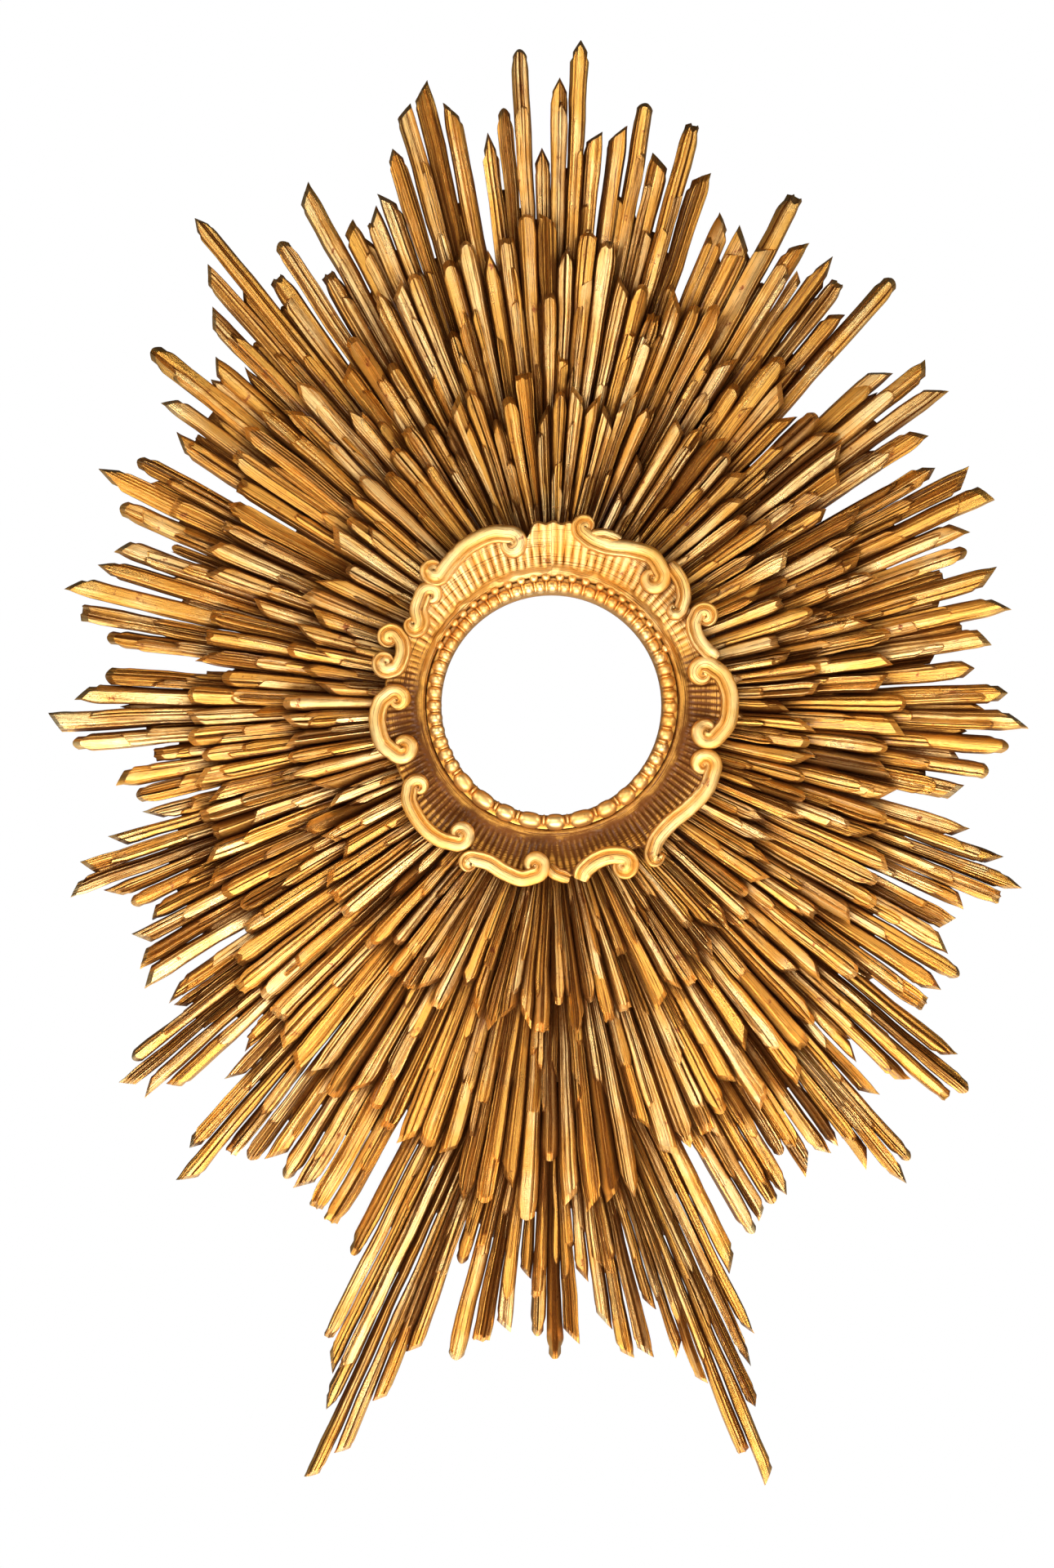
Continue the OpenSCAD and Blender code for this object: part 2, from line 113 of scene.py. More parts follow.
def ease(t):
    t = clamp(t)
    return t * t * (3 - 2 * t)


def from_top(angle):
    """An angle in degrees, as -180 to 180 from the top."""
    return (angle + 180) % 360 - 180


def back_height(node):
    """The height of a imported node's back face, in mm."""
    return -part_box(node)[1].y / MM


def tube_faces(rows, around):
    """Faces of a tube of rings, with a lid at each end."""
    faces = []
    for i in range(rows - 1):
        for j in range(around):
            a, b = i * around + j, i * around + (j + 1) % around
            faces.append([a, b, b + around, a + around])
    last = (rows - 1) * around
    return faces + [list(range(around))[::-1], [last + j for j in range(around)]]


def hoop_faces(steps, n):
    """Faces of a closed section of n points, swept all the way round in steps."""
    return [[i * n + j, ((i + 1) % steps) * n + j, ((i + 1) % steps) * n + (j + 1) % n, i * n + (j + 1) % n]
            for i in range(steps) for j in range(n)]


class Wobble:
    """A smooth, slow, seeded variation along a line."""

    def __init__(self, rng, size, length):
        self.terms = [(size * rng.uniform(0.3, 1) / k, k * math.tau / length, rng.uniform(0, math.tau))
                      for k in (1, 2.3, 4.1)]

    def __call__(self, s):
        return sum(a * math.sin(f * s + p) for a, f, p in self.terms)


# ---------------------------------------------------------------- where the rays are

CREST_DROP = 0.5                     # mm from a tier's face to its rays' crests
SAME_HEIGHT = 0.02                   # mm
PROBE = 260.0                        # mm, more than any board's root plate runs inwards
SEAM_GAP = 0.4                       # mm left clear of the line between two boards
FRAME_EDGE = 128.0                   # mm, the frame's mean outer radius


def crest_lines(node):
    """The [root, tip] of every ray of a board, from the crest edges of its mesh, in mm of (x, z)."""
    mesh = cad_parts[node].data
    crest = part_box(node)[0].y + CREST_DROP * MM

    def key(v):
        return round(v.x / MM, 2), round(v.z / MM, 2)

    joined = {}
    for edge in mesh.edges:
        a, b = (mesh.vertices[i].co for i in edge.vertices)
        if max(abs(a.y - crest), abs(b.y - crest)) < SAME_HEIGHT * MM and key(a) != key(b):
            joined.setdefault(key(a), set()).add(key(b))
            joined.setdefault(key(b), set()).add(key(a))
    lines, seen = [], set()
    for start in sorted(joined):
        if start in seen:
            continue
        group, todo = [], [start]
        while todo:
            p = todo.pop()
            if p not in seen:
                seen.add(p)
                group.append(p)
                todo += joined[p] - seen
        group.sort(key=lambda p: math.hypot(*p))
        lines.append((np.array(group[0]), np.array(group[-1])))
    return lines


class Line:
    """A line across the face: u runs along it from its root, v to its right."""

    def __init__(self, root, along):
        self.root = root
        self.u = along / np.linalg.norm(along)
        self.v = np.array([self.u[1], -self.u[0]])

    def at(self, s):
        return self.root + self.u * s


class Ray(Line):
    """One ray: its line, how far it runs, and how much room it has on each side."""

    def __init__(self, node, root, tip):
        super().__init__(root, tip - root)
        self.node, self.tip = node, tip
        self.angle = math.degrees(math.atan2(root[0] + tip[0], root[1] + tip[1])) % 360
        self.length = float(np.linalg.norm(tip - root))
        self.inner = -self.to_inner_edge()
        self.room = [None, None]

    def to_inner_edge(self):
        """How far the board's root plate runs inwards from the crest's root."""
        low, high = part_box(self.node)
        start = self.root - self.u * PROBE
        origin = Vector((start[0] * MM, (low.y + high.y) / 2, start[1] * MM))
        hit, place, _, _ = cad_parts[self.node].ray_cast(origin, Vector((self.u[0], 0, self.u[1])))
        return PROBE - (place - origin).length / MM if hit else 20.0

    def space(self, side, s):
        """Half the distance at s to the next ray's line on that side."""
        return lerp(self.room[side][0], self.room[side][1], s / self.length)


def distance_to(ray, p):
    d = p - ray.root
    return abs(float(d[0] * ray.u[1] - d[1] * ray.u[0]))


def read_rays():
    """The rays of each tier, in clockwise order, with their room worked out."""
    tiers = {}
    for tier in TIERS:
        rays = [Ray(node, root, tip)
                for node in sorted(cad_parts) if node.startswith(tier + "_ray_board")
                for root, tip in crest_lines(node)]
        rays.sort(key=lambda ray: ray.angle)
        for i, ray in enumerate(rays):
            for side, other in ((0, rays[i - 1]), (1, rays[(i + 1) % len(rays)])):
                gap = 0.0 if other.node == ray.node else SEAM_GAP
                ray.room[side] = [distance_to(other, ray.at(s)) / 2 - gap for s in (0, ray.length)]
        tiers[tier] = rays
    return tiers


def cover_radius(ray, next_tier):
    """Roughly how far out the next tier, or the frame, hides this ray."""
    if next_tier is None:
        return FRAME_EDGE
    near = sorted(next_tier, key=lambda r: abs(from_top(r.angle - ray.angle)))[:3]
    return sum(math.hypot(*r.tip) for r in near) / 3


# ---------------------------------------------------------------- one carved blade

BOARD = 20.0                         # mm, the thickness of a ray board
ACROSS = 24                          # steps across a blade's top
AROUND = ACROSS + 5                  # points round a blade's section
STATION = 14                         # mm between a blade's sections, along its straight part
GROOVE_W = 0.11                      # half a groove's width, as a share of half the blade's
EAVE_CHAMFER = 0.9                   # mm that a blade's side starts below its eave
ROOT = -4.0                          # mm, where upper blades start, inside the board's root plate
WIDE_GAP = 18.0                      # mm between the tips of two rays that have a low ray between them
LEAST_RAY = 40                       # mm, the shortest low ray


def along_steps(t, steps):
    """Straight lines through the (t, share) steps."""
    for (t0, a), (t1, b) in zip(steps, steps[1:]):
        if t <= t1:
            return lerp(a, b, (t - t0) / (t1 - t0))
    return steps[-1][1]


def slab(t):
    """A broad sloping facet, a groove and a steep narrow one."""
    return along_steps(t, [(-1, 0), (-0.82, 0.62), (0.22, 1.0), (0.42, 0.82), (0.52, 0.55), (0.64, 0.66),
                           (1, 0)])


def step(t):
    """A high strip beside a low one."""
    return along_steps(t, [(-1, 0), (-0.8, 0.74), (-0.1, 1.0), (0.05, 0.46), (0.2, 0.4), (0.6, 0.56),
                           (1, 0)])


def twin(t):
    """Two ridges with a valley between."""
    t = abs(t)
    return 1 - (t - 0.42) / 0.58 if t > 0.42 else 0.55 + 0.45 * (t / 0.42) ** 1.5


# A blade's section, as the share of the way from eave to crest at t from -1 to 1 across
SHAPES = {
    "slab_right": slab,
    "slab_left": lambda t: slab(-t),
    "step_right": step,
    "step_left": lambda t: step(-t),
    "roof": lambda t: 1 - abs(t),
    "hollow": lambda t: (1 - abs(t)) ** 1.45,
    "round": lambda t: (1 - t * t) ** 0.62,
    "fluted": lambda t: 1 - abs(t) - 0.15 * (1 - math.cos(math.tau * 2.5 * abs(t))) * (abs(t) < 0.8),
    "reeded": lambda t: 0.94 - 0.8 * abs(t) ** 1.6 - 0.09 * (1 - math.cos(math.tau * 3 * t)),
    "twin": twin,
    "scoop": lambda t: along_steps(abs(t), [(0, 0.42), (0.3, 0.5), (0.6, 0.8), (0.72, 1.0), (1, 0.1)]),
}
# The more often a shape is listed, the commoner it is
MAIN_SHAPES = ["slab_right", "slab_left"] * 3 + [
    "step_right", "step_left", "roof", "hollow", "round", "fluted", "fluted", "reeded", "reeded", "twin",
    "scoop"]
UPPER_SHAPES = [
    "slab_right", "slab_left", "roof", "hollow", "reeded", "fluted", "scoop", "step_right", "step_left"]

# How far a blade's end is cut back, as a share of the cut, at t from -1 to 1 across
CUTS = {
    "left": lambda t: (1 + t) / 2,
    "right": lambda t: (1 - t) / 2,
    "point": lambda t: abs(t),
    "finger": lambda t: 0.55 * t * t,
    "torn": lambda t: 0.3 * abs(math.sin(3.1 * t + 0.8)),
    "cup": lambda t: 1 - t * t,
}


def blade(carving, rng, ray, s0, s1, left, right, base, crest, eaves, shape, tip, cut, plate_to=None,
          shift=0.0, tooled=(0.0, 0.0)):
    """A closed blade along a ray, from s0 to its chiselled tip at s1.

    left and right give its half widths at s, and base, crest and eaves are heights. Up to plate_to it is as
    flat and thick as the board. shift moves it sideways, and tooled is how far each flank is hatched.
    """
    profile, cut_back = SHAPES[shape], CUTS[tip]
    sway = Wobble(rng, 0.5, 150)
    swell = [Wobble(rng, 0.4, 70), Wobble(rng, 0.4, 70)]
    lift = Wobble(rng, 0.4, 90)
    facet_l = rng.uniform(3.5, 6.5)
    foot = rng.uniform(0.38, 0.6)
    narrow = rng.uniform(0.7, 0.95)
    tone = rng.random()
    grooves = [(rng.uniform(-0.85, 0.85), rng.uniform(0.8, 2.2))        # (where across, how deep)
               for _ in range(rng.choice([0, 1, 2, 2, 3, 4]))]

    body_from = s0 if plate_to is None else plate_to
    stations = [] if plate_to is None else [(s0, True), (plate_to - 0.5, True)]
    turn = s1 - cut - 10
    steps = max(3, int((turn - body_from) / STATION))
    stations += [(lerp(body_from, turn, i / steps), False) for i in range(steps)]
    stations += [(lerp(turn, s1 - facet_l, i / 6), False) for i in range(7)]
    stations += [(s1 - 0.4 * facet_l, False), (s1, False)]

    verts, along, across, hollow = [], [], [], []
    for s, on_plate in stations:
        k = clamp((s - turn) / (s1 - facet_l - turn))
        x_left, x_right = -max(0.5, left(s)), max(0.5, right(s))
        if not on_plate:
            taper = 1 - (1 - narrow) * k * k
            x_left = min(-0.5, (x_left - swell[0](s)) * taper)
            x_right = max(0.5, (x_right + swell[1](s)) * taper)
        wide = x_right - x_left
        ridge_x = clamp(0.0, x_left + 0.25 * wide, x_right - 0.25 * wide)
        drop = clamp((s - (s1 - facet_l)) / facet_l)
        top = crest + (0 if on_plate else lift(s))
        top = lerp(top, lerp(base, crest, foot), drop)
        low = [lerp(e, lerp(base, e, foot), drop) for e in eaves]
        if on_plate:
            top, low = BOARD, [BOARD, BOARD]
        bend = shift + (0 if on_plate else sway(s))

        def put(x, h):
            t = clamp(2 * (x - x_left) / wide - 1, -1, 1)
            back = cut * k * cut_back(t)
            p = ray.at(s - back) + ray.v * (x + bend)
            verts.append((float(p[0]), float(p[1]), min(h, BOARD)))
            along.append(s - back)
            across.append(x)
            hollow.append(clamp((top - h) / max(4.0, top - base)))

        undercut = min(0.9, 0.3 * wide)
        lip = min(0.35, 0.2 * wide)
        put(x_left + undercut, base)
        put(x_left, low[0] - EAVE_CHAMFER)
        for j in range(ACROSS + 1):
            t = 2 * j / ACROSS - 1
            x = ridge_x + (t * (x_right - lip - ridge_x) if t > 0 else -t * (x_left + lip - ridge_x))
            share = 1.0 if on_plate else profile(t)
            cut_in = 0
            if not on_plate:
                cut_in = sum(depth * max(0, 1 - abs(t - place) / GROOVE_W) for place, depth in grooves)
            put(x, lerp(low[1] if t > 0 else low[0], top, share) - cut_in * (1 - drop))
        put(x_right, low[1] - EAVE_CHAMFER)
        put(x_right - undercut, base)

    slots, is_tooled = [], []
    for i in range(len(stations) - 1):
        facet = i >= len(stations) - 3
        for j in range(AROUND):
            under = j == AROUND - 1
            slots.append(1 if under and base < 1.0 else 0)
            top_face = 2 <= j < AROUND - 3 and not facet
            is_tooled.append(tooled[0 if j < AROUND // 2 else 1] if top_face else 0.0)
    carving.add(verts, tube_faces(len(stations), AROUND), hollow, tone, along, across,
                slots + [0, 0], is_tooled + [0.0, 0.0])


def tip_style(rng):
    """The kind of end a blade has, and how long its cut is."""
    tip = rng.choice(["left", "right", "left", "right", "point", "finger", "finger", "torn"])
    return tip, rng.uniform(7, 16) if tip in ("left", "right", "point") else rng.uniform(6, 9)


def finish_style(rng):
    """Which flanks are tooled and which burnished."""
    return rng.choice([(1.0, 0.0), (0.0, 1.0), (1.0, 0.0), (0.0, 1.0), (0.0, 0.0), (1.0, 1.0)])


def carve_ray(carving, rng, ray, cover, habit):
    """A ray's main blade, with shorter ones stepped up on it. habit is its board's commonest shape."""
    widest = [rng.uniform(6.2, 8.4), rng.uniform(6.2, 8.4)]         # mm, half widths
    gaps = [rng.uniform(0.0, 0.7), rng.uniform(0.0, 0.7)]

    def width(side):
        return lambda s: min(widest[side], ray.space(side, s) + (0.3 if s < 1 else -gaps[side]))

    visible = clamp(cover - math.hypot(*ray.root), 0, ray.length - 30)
    eaves = [rng.uniform(4.5, 12.5), rng.uniform(4.5, 12.5)]
    crest = rng.uniform(14, 18.5)
    tip, cut = tip_style(rng)
    blade(carving, rng, ray, ray.inner, ray.length, width(0), width(1),
          base=0.0, crest=crest, eaves=eaves, shape=rng.choice([habit] * 6 + MAIN_SHAPES),
          tip=tip, cut=cut, plate_to=0.0, tooled=finish_style(rng))
    run = ray.length - visible
    ends = sorted(rng.uniform(0.12, 0.86) for _ in range(rng.choice([0, 1, 1, 2, 2, 3])))
    for n, end in enumerate(ends):
        share = rng.uniform(0.45, 1.0)
        side = rng.choice([-1, 1])
        slack = (1 - share) * min(widest)
        top = min(19.8, crest + rng.uniform(1.2, 2.8) * (len(ends) - n))
        tip, cut = tip_style(rng)
        blade(carving, rng, ray, ROOT, visible + run * end,
              lambda s: width(0)(s) * share, lambda s: width(1)(s) * share,
              base=3.0, crest=top, eaves=[top - rng.uniform(3.5, 7.0), top - rng.uniform(3.5, 7.0)],
              shape=rng.choice([habit] * 3 + UPPER_SHAPES), tip=tip, cut=0.6 * cut,
              shift=side * slack, tooled=finish_style(rng))


def carve_gap(carving, rng, ray, other, cover):
    """Fills the gap between two rays of a board: a web at its root and, where it is wide, a low ray."""
    if other.node != ray.node:
        return
    visible = clamp(cover - math.hypot(*ray.root), 0, ray.length - 30)
    shorter = min(ray.length, other.length)
    middle = Line((ray.root + other.root) / 2, ray.u + other.u)
    web_end = lerp(visible, shorter, rng.uniform(0.1, 0.55))
    blade(carving, rng, middle, ROOT, web_end, lambda s: 3.0 + 0.01 * s, lambda s: 3.0 + 0.01 * s,
          base=0.6, crest=rng.uniform(7, 12), eaves=[5.0, 5.0],
          shape=rng.choice(["hollow", "scoop", "reeded"]), tip="cup", cut=6.0)
    end = lerp(visible, shorter, rng.uniform(0.3, 0.85))
    if distance_to(other, ray.at(ray.length)) > WIDE_GAP and end > LEAST_RAY:
        half = rng.uniform(3.5, 5.5)
        tip, cut = tip_style(rng)
        blade(carving, rng, middle, ROOT, end, lambda s: half, lambda s: half,
              base=0.8, crest=rng.uniform(9, 13), eaves=[rng.uniform(5, 8), rng.uniform(5, 8)],
              shape=rng.choice(MAIN_SHAPES), tip=tip, cut=0.7 * cut, tooled=finish_style(rng))


def carve_boards(materials):
    """Every ray board, with its own seed."""
    tiers = read_rays()
    for n, tier in enumerate(TIERS):
        rays = tiers[tier]
        next_tier = tiers[TIERS[n + 1]] if n + 1 < len(TIERS) else None
        for node in sorted({ray.node for ray in rays}):
            rng = random.Random(node)
            carving = Carving()
            habit = rng.choice(["slab_left", "slab_right"])
            for i, ray in enumerate(rays):
                if ray.node != node:
                    continue
                cover = cover_radius(ray, next_tier)
                carve_ray(carving, rng, ray, cover, habit)
                carve_gap(carving, rng, ray, rays[(i + 1) % len(rays)], cover)
            carving.replace(node, materials, sharp=32, floor=back_height(node))


# ---------------------------------------------------------------- the rocaille frame

COVE_STEPS = 1080                    # round the frame
COVE_INNER = 94.3                    # mm, the cove's inner radius
COVE_HOLLOW = 10.6                   # mm, the height of the hollow inside its lip
FRAME_MEAN = 125.0                   # mm, the cove's outer radius between the scrolls
PATH_STEP = 0.8                      # mm between the points of a scroll's path


def polar(angle, r):
    """The (x, z) of a place round the aperture, clockwise from the top."""
    a = math.radians(angle)
    return np.array([r * math.sin(a), r * math.cos(a)])


def bump(x, low, high, edge):
    """1 between low and high, easing to 0 over edge on either side."""
    return ease((x - low + edge) / edge) * ease((high + edge - x) / edge)


def scroll_reach():
    """How far out the scrolls' centre lines lie at each degree round the frame."""
    reach = [0.0] * 360
    for points, _, _, _ in SCROLLS:
        for x, z in smooth_path([polar(*p) for p in points]):
            degree = int(math.degrees(math.atan2(x, z)) % 360)
            reach[degree] = max(reach[degree], math.hypot(x, z) + 1.5)
    level = [r or FRAME_MEAN for r in reach]
    return [sum(level[(i + k) % 360] for k in (-2, -1, 0, 1, 2)) / 5 for i in range(360)]


def cove_edge(angle, reach):
    """Outer radius of the fluted cove: it fills the scrolls and swells into the crest at the top."""
    a = from_top(angle)
    i = int(angle % 360)
    scrolls = lerp(reach[i], reach[(i + 1) % 360], angle % 1)
    return lerp(scrolls, 135.0 + math.cos(math.radians(72 * (a - 0.5))), bump(a, -5.5, 7.0, 3.5))


def flute(angle, r, edge):
    """Gadroon ridges across the cove, coarser in the upper half."""
    a = from_top(angle)
    upper = bump(a, -60, 60, 12)
    slant = 0.06 * (r - 110) * math.sin(math.radians(2.5 * a))
    coarse = abs(math.cos(math.pi * (a + slant) / 3.1)) ** 0.6
    fine = abs(math.cos(math.pi * (a + slant) / 2.4)) ** 0.7
    return (lerp(1.5 * fine, 2.3 * coarse, upper) - 1.0) * bump(r, 105.5, edge - 3, 4)


# The cove's section: (share of the way out, height) from the inside foot over the lip, hollow and rim
COVE = [
    (0.0, 0.0), (0.0, 10.0), (0.04, 13.0), (0.10, 14.4), (0.16, 13.2), (0.21, 11.2), (0.27, COVE_HOLLOW),
    (0.34, 11.2), (0.42, 12.6), (0.50, 14.2), (0.58, 15.9), (0.66, 17.8), (0.74, 19.8), (0.82, 21.8),
    (0.89, 23.2), (0.95, 23.4), (0.99, 21.4), (1.0, 17.0), (1.0, 0.0)]


def carve_cove(carving):
    """The cove with its gadroons: a closed ring, worked out on a grid of angle and radius."""
    reach = scroll_reach()
    verts, along, across, hollow = [], [], [], []
    for i in range(COVE_STEPS):
        angle = 360 * i / COVE_STEPS
        edge = cove_edge(angle, reach)
        wave = 0.9 * math.sin(math.radians(23 * angle)) + 0.6 * math.sin(math.radians(41 * angle + 60))
        crest = bump(from_top(angle), -6.5, 7.5, 2.0)
        below = bump(abs(from_top(angle)), 100, 190, 45)     # 1 in the lower part
        for share, h in COVE:
            r = lerp(COVE_INNER, edge, share)
            if 0.0 < share < 0.24:
                r += wave if share > 0.05 else 0.0
                h = lerp(h, COVE_HOLLOW, 0.8 * below)
            lift = flute(angle, r, edge) if 0.2 < share < 0.99 else 0.0
            p = polar(angle, r)
            verts.append((float(p[0]), float(p[1]), h + lift + 3.5 * crest * share ** 2 if h else 0.0))
            along.append(math.radians(angle) * r)
            across.append(r - COVE_INNER)
            bowl = bump(share, 0.25, 0.55, 0.15)
            # Painted shade: the cove's lower part is marked more hollow, so it is darker than the upper part.
            hollow.append(clamp(lerp(0.2, 0.72, below) + 0.25 * bowl - 0.4 * lift) if h else 1.0)
    slots = ([0] * (len(COVE) - 1) + [1]) * COVE_STEPS       # the underside is bare
    carving.add(verts, hoop_faces(COVE_STEPS, len(COVE)), hollow, 0.5, along, across, slots)


def smooth_path(points):
    """A Catmull-Rom curve through the points, at even steps."""
    pts = [2 * points[0] - points[1]] + list(points) + [2 * points[-1] - points[-2]]
    fine = []
    for a, b, c, d in zip(pts, pts[1:], pts[2:], pts[3:]):
        for k in range(24):
            t = k / 24
            fine.append(0.5 * (2 * b + (c - a) * t + (2 * a - 5 * b + 4 * c - d) * t * t
                               + (3 * b - a - 3 * c + d) * t ** 3))
    fine.append(points[-1])
    out, left = [fine[0]], PATH_STEP
    for a, b in zip(fine, fine[1:]):
        gap = np.linalg.norm(b - a)
        while gap >= left:
            a = a + (b - a) * left / gap
            gap -= left
            left = PATH_STEP
            out.append(a)
        left -= gap
    return out


def volute(path, turn, size, turns):
    """Carries a path on into a spiral. turn is +1 anticlockwise or -1 clockwise, as seen from the front."""
    if turn == 0:
        return path
    p = path[-1]
    d = path[-1] - path[-2]
    heading = math.atan2(d[1], d[0])
    total = turns * math.tau
    turned, out = 0.0, []
    while turned < total:
        radius = lerp(size, 0.26 * size, (turned / total) ** 0.8)
        turned += PATH_STEP / radius
        heading += turn * PATH_STEP / radius
        p = p + PATH_STEP * np.array([math.cos(heading), math.sin(heading)])
        out.append(p)
    return path + out


# One row is one scroll: [(angle, radius) along it], then (turn, size, turns) of the volute at each end,
# and its half width. Angles are clockwise from the top; a turn of 0 is a plain end.
SCROLLS = [
    ([(-14, 129), (-20, 133), (-28, 132.5), (-35, 129), (-41, 125.5)], (-1, 7.0, 1.1), (-1, 6.5, 1.1), 6.8),
    ([(-50, 125), (-55, 121), (-58, 115)], (-1, 6, 0.8), (-1, 6, 0.8), 6.8),
    ([(-66, 126), (-68, 120), (-72, 116.5), (-77, 118), (-79, 124)], (1, 6.0, 1.1), (-1, 6.5, 1.1), 5.9),
    ([(-87, 121), (-90, 127), (-96, 130.5), (-103, 129), (-108, 122)], (-1, 7.0, 0.9), (1, 7.5, 1.15), 6.6),
    ([(-121, 123), (-125, 129), (-133, 132), (-140, 131), (-146, 126)],
     (-1, 6.5, 0.8), (1, 7.5, 1.15), 6.1),
    ([(-153, 129), (-158, 127), (-164, 130), (-170, 132), (-175, 128)], (1, 5, 0.7), (1, 7.5, 1.15), 6.3),
    ([(181, 121), (179, 126), (174, 131)], (0, 0, 0), (0, 0, 0), 5.0),
    ([(171, 133), (169, 126), (164, 121), (159, 121), (155, 125)], (0, 0, 0), (-1, 7, 1.1), 6.8),
    ([(146, 133), (142, 127), (135, 125), (127, 128), (119, 131), (112, 129.5)],
     (1, 6, 0.5), (1, 8, 1.15), 6.3),
    ([(77, 121), (81, 128), (88, 132), (96, 131), (102, 124)], (1, 8, 0.95), (-1, 8.0, 1.15), 6.8),
    ([(58.5, 126), (61, 120), (66, 118), (71, 121), (75, 127)], (-1, 6.5, 1.1), (0, 0, 0), 5.9),
    ([(12, 126), (17, 131), (23, 131)], (0, 0, 0), (0, 0, 0), 4.4),
    ([(10, 128), (14, 124), (20, 123.5), (27, 128), (34, 131.5), (40, 127)],
     (-1, 5.5, 0.9), (-1, 8, 1.1), 6.6),
    ([(40, 135), (46, 132), (51, 126), (54, 118)], (0, 0, 0), (-1, 5, 0.6), 5.6),
]


# A scroll's section: (share of its half width, height), with the hollow and raised line on the right
RIB = [(-1.0, -9.0), (-1.0, 2.5), (-0.97, 5.0), (-0.86, 6.9), (-0.68, 8.1), (-0.45, 8.8), (-0.2, 8.9),
       (0.05, 8.3), (0.25, 7.0), (0.38, 6.2), (0.5, 6.6), (0.62, 7.9), (0.76, 8.3), (0.89, 7.6),
       (0.98, 5.6), (1.0, 3.0), (1.0, -9.0)]
RIB_BASE = 19.5                      # mm, the height that a rib's section stands on


def carve_scroll(carving, points, start, end, half):
    """A rib with a raised inner line, swept along its path and through its volutes."""
    path = smooth_path([polar(*p) for p in points])
    path = volute(path, *end)
    path = volute(path[::-1], *start)[::-1]
    total = len(path) - 1
    start_l, end_l = (int(v[1] * v[2] * 3.2) for v in (start, end))
    verts, along, across, hollow = [], [], [], []
    section = RIB
    middle = path[total // 2]
    if np.cross(path[total // 2 + 1] - middle, middle) < 0:
        section = [(-t, h) for t, h in reversed(RIB)]       # so that the raised line faces the aperture
    for i, p in enumerate(path):
        a, b = path[max(0, i - 1)], path[min(total, i + 1)]
        d = (b - a) / np.linalg.norm(b - a)
        side = np.array([d[1], -d[0]])
        from_start = i / max(1, start_l) if start[0] else 1.0 - 0.55 * (1 - clamp(i / 9))
        from_end = (total - i) / max(1, end_l) if end[0] else 1.0 - 0.55 * (1 - clamp((total - i) / 9))
        grow = min(ease(from_start), ease(from_end))
        width = half * lerp(0.5, 1.0, clamp(grow * 1.15))
        rise = RIB_BASE + 2.5 * grow
        if start[0] or end[0]:
            eye = min(i if start[0] else total, total - i if end[0] else total)
            rise += 2.5 * (1 - ease(eye / 14))
        for t, h in section:
            q = p + side * t * width
            verts.append((float(q[0]), float(q[1]), rise + h * lerp(0.7, 1.0, grow)))
            along.append(i * PATH_STEP)
            across.append(t * width)
            hollow.append(clamp((9 - h) / 9))
    for eye, (turn, size, _) in ((path[0], start), (path[-1], end)):
        if turn:
            carve_dome(carving, eye, 0.62 * size, 7.5, RIB_BASE + 1.0)
    carving.add(verts, tube_faces(total + 1, len(section)), hollow, 0.6, along, across)


def carve_dome(carving, centre, radius, height, base, rows=7, around=18):
    """A flattened dome with a closed foot, such as the eye of a volute."""
    verts, hollow = [], []
    for k in range(rows):
        a = math.pi / 2 * k / rows
        for j in range(around):
            b = math.tau * j / around
            verts.append((centre[0] + radius * math.cos(a) * math.sin(b),
                          centre[1] + radius * math.cos(a) * math.cos(b), base + height * math.sin(a)))
            hollow.append(1 - math.sin(a))
    top, last = len(verts), (rows - 1) * around
    verts.append((centre[0], centre[1], base + height))
    hollow.append(0.0)
    faces = tube_faces(rows, around)[:-1]
    faces += [[last + j, last + (j + 1) % around, top] for j in range(around)]
    carving.add(verts, [f[::-1] for f in faces], hollow, 0.6)


def carve_frame(materials):
    """The cove and the scrolls round it."""
    carving = Carving()
    carve_cove(carving)
    for points, start, end, half in SCROLLS:
        carve_scroll(carving, points, start, end, half)
    carving.replace("rocaille_frame", materials, sharp=50, floor=back_height("rocaille_frame"))


# ---------------------------------------------------------------- the beaded ring

RING_STEPS = 256
BEADS_INNER = 82.2                   # mm, the radius that the beads start from
BEADS_MIDDLE = 87.0                  # mm, the radius of their middles
FIRST_BEAD = -3.0                    # degrees


def bead_run():
    """(middle angle, length in mm) of each bead round the opening: long ones at the bottom."""
    rng = random.Random("beads")
    angle, out = FIRST_BEAD, []
    while angle < FIRST_BEAD + 360:
        low = bump(abs(from_top(angle)), 138, 190, 16)
        length = lerp(rng.uniform(7.4, 9.6), rng.uniform(14, 20), low)
        gap = lerp(0.9, 2.4, low)
        step = math.degrees((length + gap) / BEADS_MIDDLE)
        out.append((angle + step / 2, length))
        angle += step
    spread = 360 / (angle - FIRST_BEAD)
    return [(FIRST_BEAD + (a - FIRST_BEAD) * spread, length) for a, length in out]


def carve_bead(carving, angle, r, length, width, height, base, power=2.6):
    """A bead: a rounded barrel bent to the ring's curve."""
    rows, around = 14, 14
    verts, hollow = [], []
    for i in range(rows + 1):
        t = 2 * i / rows - 1
        t = math.copysign(abs(t) ** 0.85, t)
        swell = max(0.02, (1 - abs(t) ** power)) ** (1 / power)
        for j in range(around):
            b = math.tau * j / around
            rr = r + 0.5 * width * swell * math.cos(b)
            p = polar(angle + math.degrees(0.5 * length * t / r), rr)
            h = base + height * swell * math.sin(b)
            verts.append((float(p[0]), float(p[1]), h))
            hollow.append(clamp(0.2 - 0.4 * swell * math.sin(b)))
    carving.add(verts, [f[::-1] for f in tube_faces(rows + 1, around)], hollow, 0.7)


